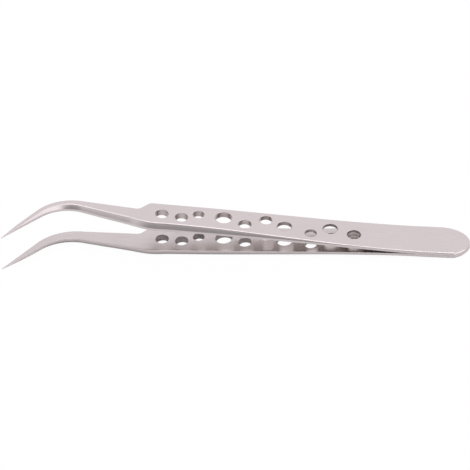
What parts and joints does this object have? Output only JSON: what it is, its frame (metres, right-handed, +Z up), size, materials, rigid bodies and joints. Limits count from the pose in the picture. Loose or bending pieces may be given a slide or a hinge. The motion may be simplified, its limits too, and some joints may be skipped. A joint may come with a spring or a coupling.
{
  "type": "tweezers",
  "caption": "Fine-point steel tweezers with hooked needle tips, bevelled arms and round lightening holes through the grip.",
  "frame": {"origin": "on the ground, under the centre of the box around the tool as it lies on one arm", "axes": "+X along the handle towards the welded butt end, with the tips at -X; +Y away from the side that the tips hook to; +Z up"},
  "size_m": [0.1238, 0.0186, 0.0138],
  "materials": {
    "satin_steel": "fine satin stainless steel, brighter along the ground edges"
  },
  "bodies": {
    "root": {"upper_arm": "satin_steel", "lower_arm": "satin_steel"}
  },
  "joints": []
}
